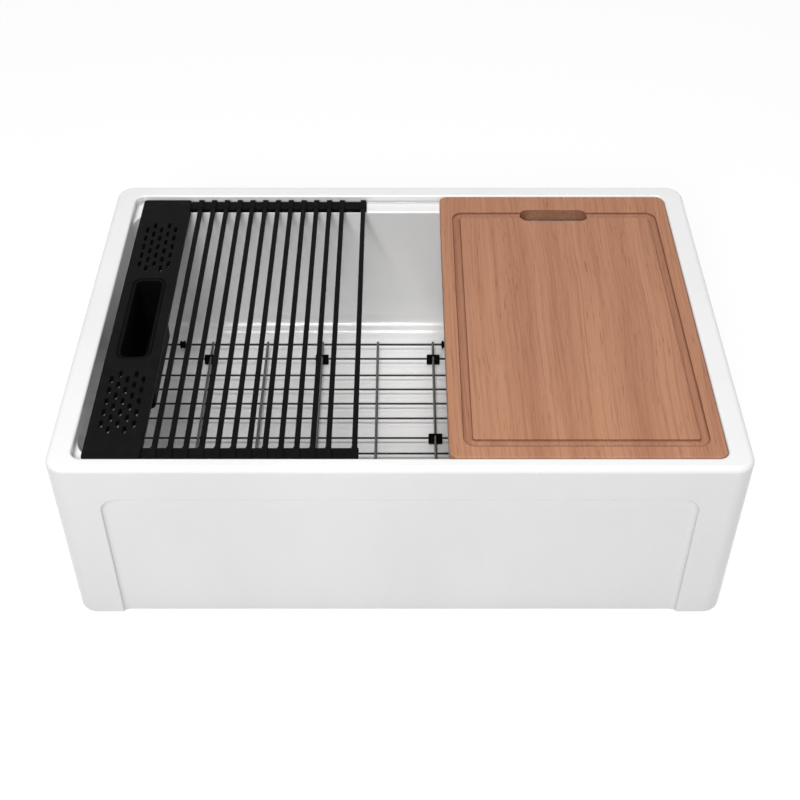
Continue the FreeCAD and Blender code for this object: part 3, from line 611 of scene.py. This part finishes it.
def makeBin():
    low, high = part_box("utensil_bin")
    lip, wall, draft = mm(rackShape["lip"]), mm(rackShape["wall"]), mm(binShape["draft"])
    mouth = (low.x + lip, high.x - lip, low.y + lip, high.y - lip, mm(rackShape["mouthRound"]))
    height = high.z - low.z

    def wallAt(z, grow):
        return grown(mouth, grow - draft * (high.z - z) / height)

    levels = []
    foot = mm(binShape["foot"])
    for turn in quarter(5):
        z = low.z + foot - foot * math.cos(turn)
        levels.append((grown(wallAt(z, wall), foot * (math.sin(turn) - 1)), z))
    under = high.z - mm(binShape["lipThick"])
    below, edge, inner = mm(binShape["lipUnder"]), mm(binShape["lipEdge"]), mm(binShape["innerEdge"])
    levels += [(wallAt(under, wall), under), (grown(mouth, lip - below), under), (grown(mouth, lip), under + below),
               (grown(mouth, lip), high.z - edge), (grown(mouth, lip - edge), high.z),
               (grown(mouth, inner), high.z), (wallAt(high.z - inner, 0), high.z - inner)]
    inside = foot - wall
    for turn in reversed(quarter(4)):
        z = low.z + wall + inside - inside * math.cos(turn)
        levels.append((grown(wallAt(z, 0), inside * (math.sin(turn) - 1)), z))
    shell = roundedStack("utensilBin", levels, 8)
    count, step = binShape["drains"], mm(binShape["drainStep"])
    middle = ((low.x + high.x) / 2, (low.y + high.y) / 2 - (count - 1) / 2 * step)
    radius = mm(binShape["drain"])
    drains = roundStack("drainCutter", [(radius, low.z - mm(1)), (radius, low.z + wall + mm(1))], middle, 20)
    repeated(drains, (0, step, 0), count)
    cutWith(shell, drains)
    smoothShaded(shell, 38)
    return finished(shell, "bin", "bin_black", finishes["bin"], "utensil_bin")


makeBin()


# bars: one is modelled and the others are copies, each with its own mesh

barShape = {"round": 1.6, "end": 0.5}
barNames = sorted(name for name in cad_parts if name.startswith("rack_bar_"))


def makeBars():
    low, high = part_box(barNames[0])
    middle = (low + high) / 2
    nothingSelected()
    bpy.ops.mesh.primitive_cube_add(size=1, location=middle)
    bar = bpy.context.object
    bar.name = bar.data.name = "rackBar01"
    editing(bar)
    bpy.ops.mesh.select_all(action="SELECT")
    bpy.ops.transform.resize(value=tuple(high - low))
    doneEditing()
    placeInMesh(bar)
    editing(bar)
    selectWhere(bar, "edges", lambda place: False)
    shape = bmesh.from_edit_mesh(bar.data)
    for edge in shape.edges:
        edge.select_set(abs(edge.verts[0].co.y - edge.verts[1].co.y) > 0.1)
    bmesh.update_edit_mesh(bar.data)
    bpy.ops.mesh.bevel(offset=mm(barShape["round"]), segments=4, profile=0.5)
    selectWhere(bar, "faces", lambda place, normal: abs(normal.y) > 0.9)
    bpy.ops.mesh.bevel(offset=mm(barShape["end"]), segments=2)
    doneEditing()
    smoothShaded(bar, 50)
    made = [bar]
    for number, name in enumerate(barNames[1:], start=2):
        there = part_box(name)[0]
        made.append(copied(bar, "rackBar%02d" % number, (there.x - low.x, 0, 0)))
    for number, (piece, name) in enumerate(zip(made, barNames), start=1):
        finished(piece, "bar_%02d" % number, "bar_black", finishes["bar"], name)


makeBars()


# strips: each stretch of soft strip runs between two bars and carries the bump over the second one

stripShape = {"wide": 16.0, "thick": 6.0, "bumpWall": 0.5, "bumpOut": 0.8, "soft": 0.7, "cuts": 5}


def makeStrips():
    thick, wall, out = mm(stripShape["thick"]), mm(stripShape["bumpWall"]), mm(stripShape["bumpOut"])
    wide = mm(stripShape["wide"])
    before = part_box("rack_panel")[1].x
    for number, name in enumerate(barNames, start=1):
        linkLow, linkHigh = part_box("rack_link_%02d" % number)
        barLow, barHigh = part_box(name)
        bumpLeft, bumpRight = barLow.x - wall, barHigh.x + wall
        right = linkHigh.x if number == len(barNames) else bumpRight
        halves = []
        for y0, y1, outward in ((linkHigh.y - wide, linkHigh.y, 1), (linkLow.y, linkLow.y + wide, -1)):
            nothingSelected()
            middle = ((before + right) / 2, (y0 + y1) / 2, linkLow.z + thick / 2)
            bpy.ops.mesh.primitive_cube_add(size=1, location=middle)
            strip = bpy.context.object
            editing(strip)
            bpy.ops.mesh.select_all(action="SELECT")
            bpy.ops.transform.resize(value=(right - before, y1 - y0, thick))
            doneEditing()
            placeInMesh(strip)
            editing(strip)
            cuts = stripShape["cuts"]
            places = [bumpLeft] + ([bumpRight] if right > bumpRight + 1e-5 else [])
            places += [before + (bumpLeft - before) * step / cuts for step in range(1, cuts)]
            for place in places:
                bpy.ops.mesh.select_all(action="SELECT")
                bpy.ops.mesh.bisect(plane_co=(place, 0, 0), plane_no=(1, 0, 0))
            selectWhere(strip, "faces", lambda place, normal: normal.z > 0.9 and bumpLeft < place.x < bumpRight)
            bpy.ops.mesh.extrude_region_move(TRANSFORM_OT_translate={"value": (0, 0, linkHigh.z - linkLow.z - thick)})
            selectWhere(strip, "faces",
                        lambda place, normal: outward * normal.y > 0.9 and bumpLeft < place.x < bumpRight)
            bpy.ops.mesh.extrude_region_move(TRANSFORM_OT_translate={"value": (0, outward * out, 0)})
            doneEditing()
            halves.append(strip)
        strip = joined(halves, "rackStrip%02d" % number)
        softEdges(strip, stripShape["soft"], 2, 50)
        smoothShaded(strip, 50)
        strip.data.materials.clear()
        strip.data.materials.append(finishes["strip"])
        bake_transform(strip)
        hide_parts("rack_link_%02d" % number)
        before = right
    print("made", len(barNames), "stretches of strip")


makeStrips()


# grid: the wires keep their solids; rubber feet and bumpers are modelled

gridShape = {"footHigh": 10.4, "footRound": 1.3, "footUnder": 1.0, "footTop": 1.2, "capSunk": 3.0,
             "bumper": 5.5, "bumperRound": 0.8, "neck": 4.3, "barrelShare": 0.3, "waistShare": 0.42}


def pieceBoxes(name):
    # the boxes of a node's separate solids, from the node's own mesh
    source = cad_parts[name]
    copy = source.data.copy()
    shape = bmesh.new()
    shape.from_mesh(copy)
    bmesh.ops.remove_doubles(shape, verts=shape.verts, dist=1e-6)
    boxes, seen = [], set()
    for start in shape.verts:
        if start in seen:
            continue
        group, waiting = [], [start]
        seen.add(start)
        while waiting:
            vert = waiting.pop()
            group.append(vert.co.copy())
            for edge in vert.link_edges:
                other = edge.other_vert(vert)
                if other not in seen:
                    seen.add(other)
                    waiting.append(other)
        boxes.append(([min(place[axis] for place in group) for axis in range(3)],
                      [max(place[axis] for place in group) for axis in range(3)]))
    shape.free()
    bpy.data.meshes.remove(copy)
    return sorted(boxes)


def makeFeet():
    made = []
    corner, under, over = mm(gridShape["footRound"]), mm(gridShape["footUnder"]), mm(gridShape["footTop"])
    for low, high in pieceBoxes("grid_feet"):
        middle = (low[1] + high[1]) / 2
        outline = (low[0], high[0], low[1], high[1], corner)
        top = low[2] + mm(gridShape["footHigh"])
        foot = roundedStack("foot", edgeUp(outline, low[2], under, 2) + edgeDown(outline, top, over, 3), 4)
        cap = (low[0], high[0], middle, high[1], corner)
        upper = roundedStack("cap", [(cap, top - mm(gridShape["capSunk"]))] + edgeDown(cap, high[2], over, 3), 4)
        made += [foot, upper]
    feet = joined(made, "gridFeet")
    smoothShaded(feet, 45)
    return finished(feet, "grid", "grid_rubber", finishes["rubber"], "grid_feet")


def makeBumpers():
    made = []
    radius, neck, edge = mm(gridShape["bumper"]), mm(gridShape["neck"]), mm(gridShape["bumperRound"])
    barrel, waist = gridShape["barrelShare"], gridShape["waistShare"]
    for low, high in pieceBoxes("grid_bumpers"):
        long = high[0] - low[0]
        profile = [(radius - edge, 0), (radius, edge), (radius, barrel * long), (neck, waist * long),
                   (neck, (1 - waist) * long), (radius, (1 - barrel) * long),
                   (radius, long - edge), (radius - edge, long)]
        bumper = roundStack("bumper", profile, (0, 0), 24)
        bumper.rotation_euler = (0, math.radians(90), 0)
        bumper.location = (low[0], (low[1] + high[1]) / 2, (low[2] + high[2]) / 2)
        placeInMesh(bumper)
        made.append(bumper)
    bumpers = joined(made, "gridBumpers")
    smoothShaded(bumpers, 45)
    return finished(bumpers, "grid", "grid_rubber", finishes["rubber"], "grid_bumpers")


makeFeet()
makeBumpers()


# CAD nodes that keep their shape get their finish here

keptNodes = {
    # the grid's wires take the shaded and the lit copy of one steel, painted shade and painted reflection
    "grid_frame": "crossWire", "grid_cross_wires": "crossWire", "grid_drain_ring": "crossWire",
    "grid_long_wires": "longWire",
    "strainer_cup": "strainer", "basket_cup": "strainer", "basket_knob": "strainer", "strainer_locknut": "nut",
    "strainer_gasket": "rubber", "basket_seal": "rubber", "strainer_friction_ring": "fibre",
}
for name, finishName in keptNodes.items():
    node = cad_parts[name]
    node.data.materials.clear()
    node.data.materials.append(finishes[finishName])
print("finished", len(keptNodes), "kept nodes")


# floor, lights and camera

studio = {"floorSize": 14.0, "floorColour": (0.5, 0.5, 0.5, 1), "seenColour": (0.3, 0.3, 0.3, 1), "seenGlow": 0.75,
          "world": 0.17, "sun": 1.4, "sunWidth": 20.0, "sunFromBack": 3.0, "front": 46.0, "frontSize": 0.9,
          "frontPlace": (-0.35, -2.15, 2.05), "frontAim": (0, 0, 0.1), "focal": 1280.1, "middle": 283.5,
          "pitch": 40.57, "eye": (0.0, -1.1554, 1.2857)}


def seenRays(tree):
    path = tree.nodes.new("ShaderNodeLightPath")
    total = path.outputs["Is Camera Ray"]
    for other in ("Is Glossy Ray", "Is Transmission Ray"):
        both = tree.nodes.new("ShaderNodeMath")
        both.operation, both.use_clamp = "ADD", True
        tree.links.new(total, both.inputs[0])
        tree.links.new(path.outputs[other], both.inputs[1])
        total = both.outputs[0]
    return total


def makeFloor():
    nothingSelected()
    bpy.ops.mesh.primitive_plane_add(size=studio["floorSize"], location=(0, 0, 0))
    floor = bpy.context.object
    floor.name = "studioFloor"
    material = bpy.data.materials.new("floorWhite")
    material.use_nodes = True
    tree = material.node_tree
    tree.nodes.clear()
    plain = tree.nodes.new("ShaderNodeBsdfDiffuse")
    plain.inputs["Color"].default_value = studio["floorColour"]
    seen = tree.nodes.new("ShaderNodeBsdfDiffuse")
    seen.inputs["Color"].default_value = studio["seenColour"]
    glow = tree.nodes.new("ShaderNodeEmission")
    glow.inputs["Strength"].default_value = studio["seenGlow"]
    both = tree.nodes.new("ShaderNodeAddShader")
    tree.links.new(seen.outputs[0], both.inputs[0])
    tree.links.new(glow.outputs[0], both.inputs[1])
    mix = tree.nodes.new("ShaderNodeMixShader")
    tree.links.new(seenRays(tree), mix.inputs[0])
    tree.links.new(plain.outputs[0], mix.inputs[1])
    tree.links.new(both.outputs[0], mix.inputs[2])
    output = tree.nodes.new("ShaderNodeOutputMaterial")
    tree.links.new(mix.outputs[0], output.inputs["Surface"])
    floor.data.materials.append(material)


def makeWorld():
    world = bpy.data.worlds.new("studioWorld")
    bpy.context.scene.world = world
    world.use_nodes = True
    tree = world.node_tree
    tree.nodes.clear()
    soft = tree.nodes.new("ShaderNodeBackground")
    soft.inputs["Strength"].default_value = studio["world"]
    white = tree.nodes.new("ShaderNodeBackground")
    for shade in (soft, white):
        shade.inputs["Color"].default_value = (1, 1, 1, 1)
    mix = tree.nodes.new("ShaderNodeMixShader")
    tree.links.new(seenRays(tree), mix.inputs[0])
    tree.links.new(soft.outputs[0], mix.inputs[1])
    tree.links.new(white.outputs[0], mix.inputs[2])
    output = tree.nodes.new("ShaderNodeOutputWorld")
    tree.links.new(mix.outputs[0], output.inputs["Surface"])


def addSoftbox(name, place, aim, size, power):
    lamp = bpy.data.lights.new(name, "AREA")
    lamp.shape, lamp.size, lamp.energy = "SQUARE", size, power
    holder = bpy.data.objects.new(name, lamp)
    bpy.context.scene.collection.objects.link(holder)
    holder.location = place
    direction = holder.location.copy()
    direction.negate()
    direction += type(direction)(aim)
    holder.rotation_euler = direction.to_track_quat("-Z", "Y").to_euler()


def addSun():
    lamp = bpy.data.lights.new("softSun", "SUN")
    lamp.energy, lamp.angle = studio["sun"], math.radians(studio["sunWidth"])
    holder = bpy.data.objects.new("softSun", lamp)
    bpy.context.scene.collection.objects.link(holder)
    holder.rotation_euler = (math.radians(-studio["sunFromBack"]), 0, 0)


def makeCamera():
    view = bpy.data.cameras.new("photoCamera")
    camera = bpy.data.objects.new("photoCamera", view)
    bpy.context.scene.collection.objects.link(camera)
    frameWidth = 800
    view.sensor_width = 36
    view.lens = studio["focal"] * view.sensor_width / frameWidth
    view.shift_y = (studio["middle"] - frameWidth / 2) / frameWidth
    view.dof.use_dof = False
    camera.location = studio["eye"]
    camera.rotation_euler = (math.radians(90 - studio["pitch"]), 0, 0)
    bpy.context.scene.camera = camera


makeFloor()
makeWorld()
addSun()
addSoftbox("frontSoftbox", studio["frontPlace"], studio["frontAim"], studio["frontSize"], studio["front"])
makeCamera()
bpy.context.scene.view_settings.view_transform = "Standard"
print("studio ready")
